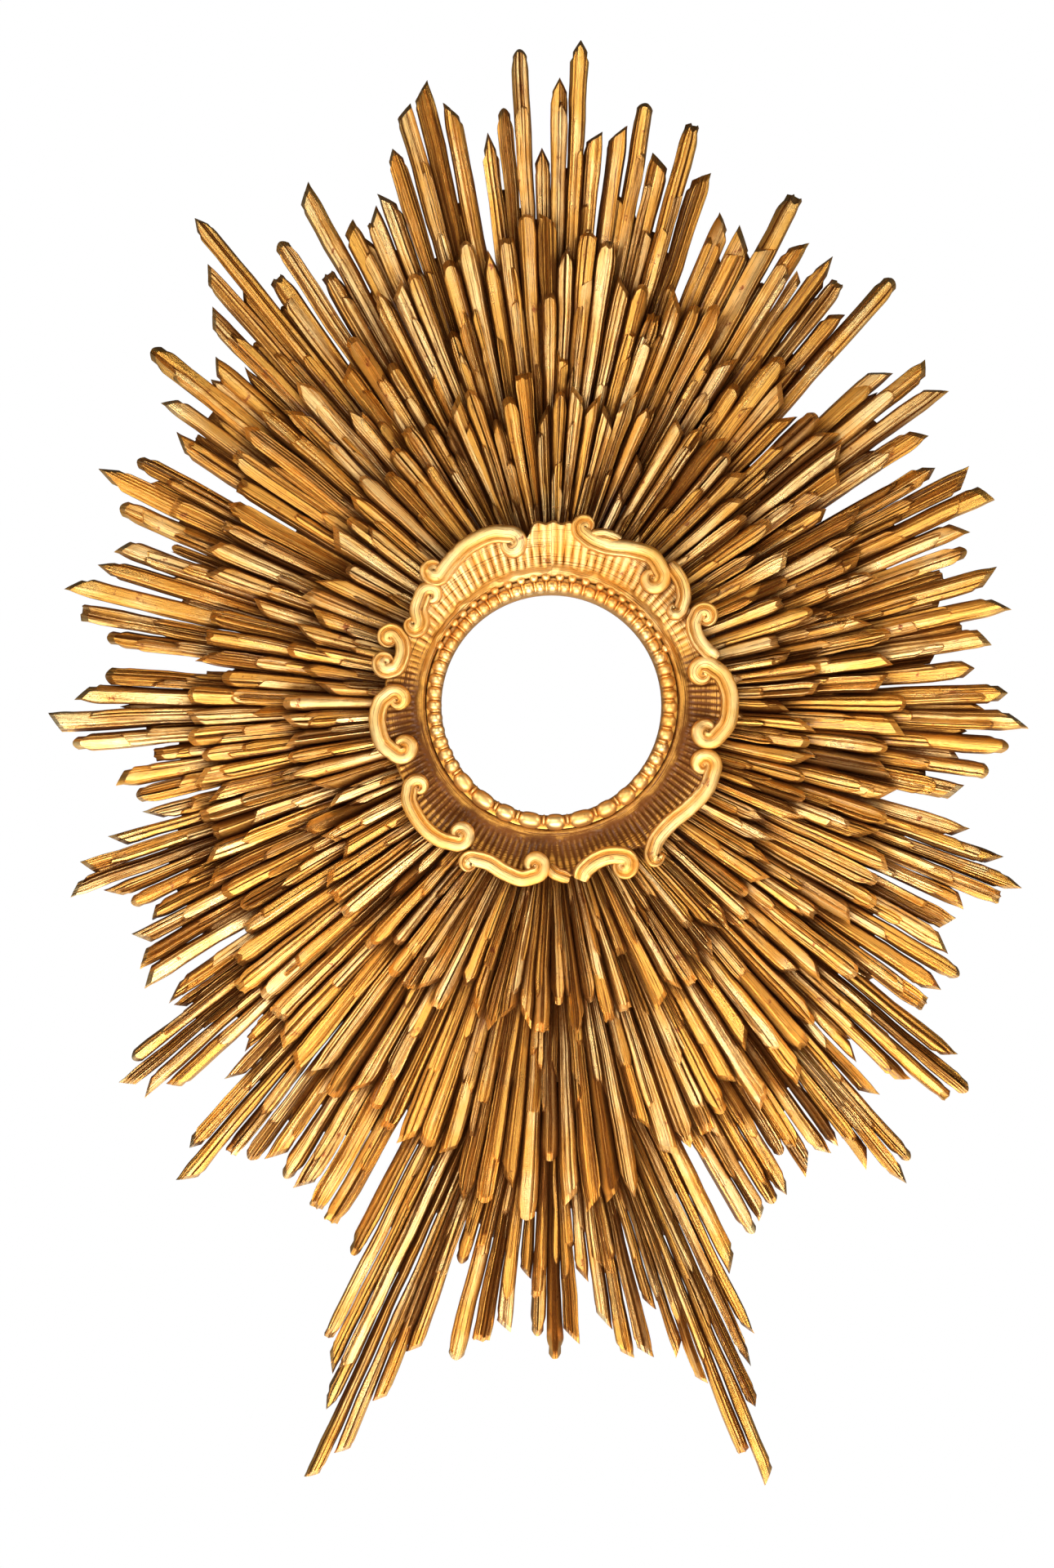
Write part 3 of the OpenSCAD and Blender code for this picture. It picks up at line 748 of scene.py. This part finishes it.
def carve_ring(materials):
    """A turned ring with a row of beads and reels, and a second row behind it in the upper part."""
    low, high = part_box("beaded_ring")
    carving = Carving()
    back, front = -high.y / MM, -low.y / MM
    section = [(84.0, back), (84.0, front - 8), (84.6, front - 6.2), (87, front - 5), (90, front - 4.4),
               (92.4, front - 4.2), (93.6, front - 4.6), (93.6, back)]
    verts, hollow = [], []
    for i in range(RING_STEPS):
        for r, h in section:
            p = polar(360 * i / RING_STEPS, r)
            verts.append((float(p[0]), float(p[1]), h))
            # Painted shade: the turned ring is marked deep in the hollows, so its plate shows dark instead of
            # catching light.
            hollow.append(0.9 if h < front - 9 else 0.75)
    carving.add(verts, hoop_faces(RING_STEPS, len(section)), hollow, 0.4)
    rng = random.Random("ring")
    for angle, length in bead_run():
        top = bump(from_top(angle), -62, 62, 8)
        width = lerp(lerp(11.6, rng.uniform(9.0, 10.0), top), 12.4, length > 12)
        height = rng.uniform(6.4, 7.4)
        carve_bead(carving, angle, BEADS_INNER + width / 2, length, width, height, front - 5.0)
        step = math.degrees((0.5 * length + 0.8) / 87.2)
        carve_bead(carving, angle + step, 87.4, 2.6, 9.0, 5.2, front - 5.4)
        if top > 0.5:
            carve_bead(carving, angle + step, 94.0, 6.6, 6.2, 6.6, front - 5.0)
    carving.replace("beaded_ring", materials, sharp=50)


# ---------------------------------------------------------------- materials

def add_node(tree, kind, inputs=(), **settings):
    """Adds a shader node. An input is either another node's output or a plain value."""
    node = tree.nodes.new("ShaderNode" + kind)
    for key, value in settings.items():
        setattr(node, key, value)
    for key, value in dict(inputs).items():
        if isinstance(value, bpy.types.NodeSocket):
            tree.links.new(value, node.inputs[key])
        else:
            node.inputs[key].default_value = value
    return node


class Shader:
    """A material's node tree, with short ways to add to it."""

    def __init__(self, name):
        self.material = bpy.data.materials.new(name)
        self.material.use_nodes = True
        self.tree = self.material.node_tree
        self.tree.nodes.clear()
        self.place = self.node("TexCoord").outputs["Object"]

    def node(self, kind, inputs=(), **settings):
        return add_node(self.tree, kind, inputs, **settings)

    def attribute(self, name):
        return self.node("Attribute", attribute_name=name).outputs["Fac"]

    def math(self, operation, a, b=0.0, clip=False):
        return self.node("Math", {0: a, 1: b}, operation=operation, use_clamp=clip).outputs[0]

    def scale(self, value, low, high, to_low=0.0, to_high=1.0, kind="SMOOTHSTEP"):
        """The value's way from low to high, as a way from to_low to to_high."""
        return self.node("MapRange", {"Value": value, "From Min": low, "From Max": high, "To Min": to_low,
                                      "To Max": to_high}, interpolation_type=kind).outputs["Result"]

    def mix(self, factor, a, b):
        """A mix of two colours, which are the node's inputs 6 and 7 and its output 2."""
        a, b = (c if isinstance(c, bpy.types.NodeSocket) else (*c, 1) for c in (a, b))
        return self.node("Mix", {0: factor, 6: a, 7: b}, data_type="RGBA").outputs[2]

    def noise(self, scale, detail=3.0, vector=None, rough=0.55, warp=0.0):
        return self.node("TexNoise", {"Vector": vector or self.place, "Scale": scale, "Detail": detail,
                                      "Roughness": rough, "Distortion": warp}).outputs["Fac"]

    def stretched(self, x, y, z):
        """The object's own coordinates, scaled by axis."""
        return self.node("Mapping", {"Vector": self.place, "Scale": (x, y, z)}).outputs["Vector"]

    def bump(self, height, distance, strength=1.0, under=None):
        inputs = {"Height": height, "Distance": distance, "Strength": strength}
        if under:
            inputs["Normal"] = under
        return self.node("Bump", inputs).outputs["Normal"]

    def finish(self, **inputs):
        """Ends the tree in a principled surface. Underscores in a name stand for spaces."""
        sockets = {key.replace("_", " "): value for key, value in inputs.items()}
        for key, value in sockets.items():
            if key == "Base Color" and not isinstance(value, bpy.types.NodeSocket):
                sockets[key] = (*value, 1)
        surface = self.node("BsdfPrincipled", sockets)
        self.node("OutputMaterial", {"Surface": surface.outputs[0]})
        return self.material


GOLD_BRIGHT = (0.97, 0.72, 0.34)
GOLD_DEEP = (0.78, 0.41, 0.08)
PATINA_AND_SHADE = (0.19, 0.062, 0.010)        # toned size and dirt in the hollows, and painted shade in crevices that ambient occlusion finds
BOLE = (0.36, 0.10, 0.035)           # the red clay under the leaf
HATCH_PITCH = 1.35                   # mm


def gilt(name, painted_shade=0.8, depth=0.5, matt=0.0, warmth=0.0):
    """Water gilding: burnished and tooled leaf, dark size in the hollows, and red bole where it is worn.
    Crevices that ambient occlusion finds get painted shade, and crests a paler gold as a painted highlight.
    """
    s = Shader(name)
    along, across, tone = s.attribute("along"), s.attribute("across"), s.attribute("tone")
    hollow, tooled = s.attribute("hollow"), s.attribute("tooled")

    def drawn_out(per_mm_along, per_mm_across, seed):
        """Coordinates that run along each blade, different on every blade."""
        return s.node("CombineXYZ", {"X": s.math("MULTIPLY", along, per_mm_along),
                                     "Y": s.math("MULTIPLY", across, per_mm_across),
                                     "Z": s.math("MULTIPLY", tone, seed)}).outputs[0]

    streak = s.noise(1.0, 4.0, drawn_out(0.022, 0.8, 60.0), 0.65)
    reeding = s.noise(1.0, 3.0, drawn_out(0.10, 2.6, 60.0), 0.6)
    pinstripe = s.noise(1.0, 2.0, drawn_out(0.008, 1.5, 90.0), 0.5)
    cloud = s.noise(26.0, 4.0)
    speck = s.noise(420.0, 2.0)

    own_tone = s.math("MULTIPLY", s.math("SUBTRACT", tone, 0.5), 0.35)
    leaf_mix = s.math("ADD", s.math("MULTIPLY", cloud, 0.8), own_tone)
    # Painted highlight: the leaf is paler gold towards the crests and deeper gold down the flanks.
    leaf_mix = s.math("ADD", leaf_mix, s.math("MULTIPLY", s.math("SUBTRACT", hollow, 0.3), 0.5))
    leaf = s.mix(s.scale(leaf_mix, 0.08 - warmth, 0.52 - warmth), GOLD_BRIGHT, GOLD_DEEP)

    # Painted shade: crevices that ambient occlusion finds are darkened towards the dark brown.
    occluded = s.node("AmbientOcclusion", {"Distance": 0.018}, samples=4, inside=False).outputs["AO"]
    shade = s.scale(occluded, 0.25, 0.85, 1.0, 0.0)
    low = s.scale(hollow, 0.35, 1.0)
    dark = s.math("ADD", s.math("MULTIPLY", low, depth), s.math("MULTIPLY", shade, painted_shade))
    lines = s.math("MAXIMUM", s.scale(streak, 0.54, 0.66, 0.0, 0.75),
                   s.scale(pinstripe, 0.57, 0.64, 0.0, 0.7))
    dark = s.math("ADD", dark, lines)
    dark = s.math("SUBTRACT", dark, s.math("MULTIPLY", s.math("SUBTRACT", speck, 0.4), 0.35), clip=True)
    # This mask holds real toned size and dirt streaks together with painted shade from ambient occlusion.
    patina_and_shade = s.scale(dark, 0.2, 0.85)

    worn = s.math("MULTIPLY", s.scale(s.noise(75.0, 5.0, rough=0.7), 0.62, 0.7), s.scale(hollow, 0.5, 0.1))
    colour = s.mix(worn, leaf, BOLE)
    colour = s.mix(patina_and_shade, colour, PATINA_AND_SHADE)

    hatch = s.math("SINE", s.math("ADD", s.math("MULTIPLY", along, math.tau / HATCH_PITCH),
                                  s.math("MULTIPLY", cloud, 9.0)))
    hatch = s.math("MULTIPLY", s.math("MULTIPLY", hatch, s.scale(patina_and_shade, 0.0, 0.5, 0.5, 0.0)), tooled)
    normal = s.bump(s.noise(110.0, 3.0), 0.0006, 0.35)
    normal = s.bump(reeding, 0.0009, 0.7, normal)
    normal = s.bump(hatch, 0.00009, 0.6, normal)

    rough = s.math("ADD", s.math("MULTIPLY", tooled, 0.14),
                   s.scale(cloud, 0.3, 0.7, 0.24 + matt, 0.38 + matt))
    rough = s.math("ADD", rough, s.math("MULTIPLY", patina_and_shade, 0.28))
    return s.finish(Base_Color=colour, Metallic=s.math("SUBTRACT", 1.0, s.math("MULTIPLY", patina_and_shade, 0.15)),
                    Roughness=rough, Normal=normal, Coat_Weight=0.2, Coat_Roughness=0.18)


def wood(name, light, dark, grain, dirt=0.6):
    """Aged bare timber. grain scales the object's own axes: the smallest runs with the fibres."""
    s = Shader(name)
    rings = s.noise(1.0, 5.0, s.stretched(*grain), 0.6, 0.4)
    fibre = s.noise(1.0, 3.0, s.stretched(*(6 * g for g in grain)), 0.7)
    stain = s.noise(9.0, 5.0)
    colour = s.mix(s.scale(rings, 0.35, 0.65), light, dark)
    colour = s.mix(s.scale(fibre, 0.5, 0.75, 0.0, 0.45), colour, tuple(0.4 * c for c in dark))
    colour = s.mix(s.scale(stain, 0.45, 0.75, 0.0, dirt), colour, (0.06, 0.045, 0.032))
    normal = s.bump(fibre, 0.0006, 0.5)
    normal = s.bump(s.noise(60.0, 4.0), 0.0008, 0.25, normal)
    return s.finish(Base_Color=colour, Roughness=s.scale(rings, 0.3, 0.7, 0.68, 0.85), Normal=normal)


def iron(name, base, rust, amount, rough):
    """Forged or machined iron with rust coming through."""
    s = Shader(name)
    patches = s.noise(160.0, 6.0, rough=0.7)
    scale = s.noise(700.0, 3.0)
    spread = s.scale(patches, 0.66 - 0.3 * amount, 0.72 - 0.15 * amount)
    colour = s.mix(spread, s.mix(s.scale(scale, 0.3, 0.7), base, tuple(0.6 * c for c in base)), rust)
    return s.finish(Base_Color=colour, Metallic=s.scale(spread, 0.0, 1.0, 0.95, 0.1),
                    Roughness=s.scale(spread, 0.0, 1.0, rough, 0.85),
                    Normal=s.bump(s.math("ADD", scale, patches), 0.0004, 0.6))


def floor_paint():
    """Matt paint that glows a little, so that the floor stays pale away from the lights."""
    s = Shader("pale_floor")
    colour = s.mix(s.noise(0.8, 3.0), (0.80, 0.80, 0.79), (0.76, 0.76, 0.755))
    return s.finish(Base_Color=colour, Roughness=0.75, Normal=s.bump(s.noise(40.0, 3.0), 0.001, 0.1),
                    Emission_Color=colour, Emission_Strength=0.55)


def dress_nodes(looks):
    """Gives each carried-over node the material of the last of looks that its name starts with."""
    for name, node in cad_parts.items():
        for start, material in looks:
            if name.startswith(start):
                node.data.materials.clear()
                node.data.materials.append(material)
                for face in node.data.polygons:
                    face.material_index = 0
                node.data.set_sharp_from_angle(angle=math.radians(35))


# ---------------------------------------------------------------- studio

VIEWPOINT = Vector((-0.0186, -3.333, -0.060))
LENS = 100                           # mm
FLOOR_Z = -1.9
WARM = (1.0, 0.96, 0.90)
DIM_ABOVE = 0.04                     # the surroundings' light from above
BRIGHT_BELOW = 0.42                  # and from low in front


def studio():
    """The camera, the floor and the lights."""
    scene = bpy.context.scene
    scene.view_settings.view_transform = "Standard"
    camera = bpy.data.objects.new("camera", bpy.data.cameras.new("camera"))
    camera.data.lens = LENS
    camera.location = VIEWPOINT
    camera.rotation_euler = (math.pi / 2, 0, 0)
    scene.collection.objects.link(camera)
    scene.camera = camera

    bpy.ops.mesh.primitive_circle_add(vertices=96, radius=5, fill_type="NGON", location=(0, 0, FLOOR_Z))
    floor = bpy.context.object
    floor.name = "floor"
    floor.data.materials.append(floor_paint())

    soft_light("key_below", (0.0, -2.1, -1.55), (0, 0, -0.05), 2.2, 0.9, 74, (1.0, 0.96, 0.89))
    soft_light("floor_glow", (0.0, -0.1, -1.8), (0, 0, 0), 2.4, 1.4, 40, (1.0, 0.97, 0.92))
    soft_light("front_fill", (-0.6, -3.4, 1.1), (0, 0, 0), 1.6, 1.6, 46, WARM)
    soft_light("left_edge", (-2.5, -1.4, 1.0), (0, 0, 0.2), 0.8, 1.6, 38, WARM)
    soft_light("right_edge", (2.5, -1.4, 1.0), (0, 0, 0.2), 0.8, 1.6, 38, WARM)
    back_fill = soft_light("back_fill", (0.8, 2.6, 0.8), (0, 0, 0), 1.8, 1.8, 70, (1.0, 0.99, 0.97))
    back_fill.visible_glossy = False     # otherwise the rays' sides mirror it towards the camera
    surroundings()


def soft_light(name, place, target, width, height, power, colour):
    """An area light that the camera doesn't see. power is in watts."""
    light = bpy.data.lights.new(name, "AREA")
    light.shape = "RECTANGLE"
    light.size, light.size_y = width, height
    light.energy = power
    light.color = colour
    obj = bpy.data.objects.new(name, light)
    obj.location = place
    obj.rotation_euler = (Vector(target) - Vector(place)).to_track_quat("-Z", "Y").to_euler()
    obj.visible_camera = False
    bpy.context.scene.collection.objects.link(obj)
    return obj


def surroundings():
    """White where the camera looks past the object. The gilding mirrors bright low in front, dim above."""
    world = bpy.data.worlds.new("studio")
    bpy.context.scene.world = world
    world.use_nodes = True
    tree = world.node_tree
    tree.nodes.clear()

    direction = add_node(tree, "SeparateXYZ", {0: add_node(tree, "TexCoord").outputs["Generated"]})
    forward = add_node(tree, "Math", {0: direction.outputs[1], 1: -0.45}, operation="MULTIPLY").outputs[0]
    lean = add_node(tree, "Math", {0: forward, 1: direction.outputs[2]}, operation="SUBTRACT").outputs[0]
    levels = {"Value": lean, "From Min": -0.9, "From Max": 1.1, "To Min": DIM_ABOVE, "To Max": BRIGHT_BELOW}
    strength = add_node(tree, "MapRange", levels, interpolation_type="SMOOTHSTEP").outputs[0]
    light = add_node(tree, "Background", {"Color": (1.0, 0.985, 0.96, 1), "Strength": strength})
    seen = add_node(tree, "Background", {"Color": (1, 1, 1, 1), "Strength": 1.0})
    is_camera = add_node(tree, "LightPath").outputs["Is Camera Ray"]
    choice = add_node(tree, "MixShader", {0: is_camera, 1: light.outputs[0], 2: seen.outputs[0]})
    add_node(tree, "OutputWorld", {"Surface": choice.outputs[0]})


# ---------------------------------------------------------------- the build

GILT = gilt("worn_gilding", warmth=0.1)
FRAME_GILT = gilt("frame_gilding", painted_shade=0.6, depth=0.85, matt=0.08)
BEAD_GILT = gilt("bead_gilding", painted_shade=0.3, matt=0.16)
STEEL = iron("dull_screw_steel", (0.34, 0.31, 0.28), (0.20, 0.085, 0.03), 0.35, 0.42)
IRON = iron("forged_iron", (0.075, 0.07, 0.066), (0.17, 0.07, 0.03), 0.5, 0.5)
BARE = wood("bare_back", (0.42, 0.25, 0.15), (0.25, 0.135, 0.075), (55, 55, 55))
dress_nodes([
    ("upper_batten", wood("batten_wood_across", (0.40, 0.25, 0.15), (0.22, 0.125, 0.07), (6, 130, 130))),
    ("lower_battens", wood("batten_wood_upright", (0.38, 0.235, 0.14), (0.20, 0.115, 0.065), (130, 130, 6))),
    ("core_ring", wood("core_wood", (0.36, 0.22, 0.13), (0.19, 0.105, 0.06), (5, 90, 90))),
    ("lower_backboard", wood("backboard_wood", (0.37, 0.22, 0.13), (0.20, 0.11, 0.06), (90, 90, 5))),
    ("tail_spacer", wood("spacer_wood", (0.40, 0.25, 0.15), (0.22, 0.125, 0.07), (90, 90, 5))),
    ("frame_dowels", wood("dowel_wood", (0.62, 0.44, 0.26), (0.45, 0.29, 0.15), (300, 20, 300), 0.2)),
    ("turn_button", IRON),
    ("turn_button_screws", STEEL),
    ("hanger_straps", IRON),
    ("hanging_ring", IRON),
    ("batten_screws", STEEL),
    ("board_screws", STEEL),
    ("hanger_screws", STEEL),
])
carve_boards([GILT, BARE])
carve_frame([FRAME_GILT, BARE])
carve_ring([BEAD_GILT, BARE])
studio()
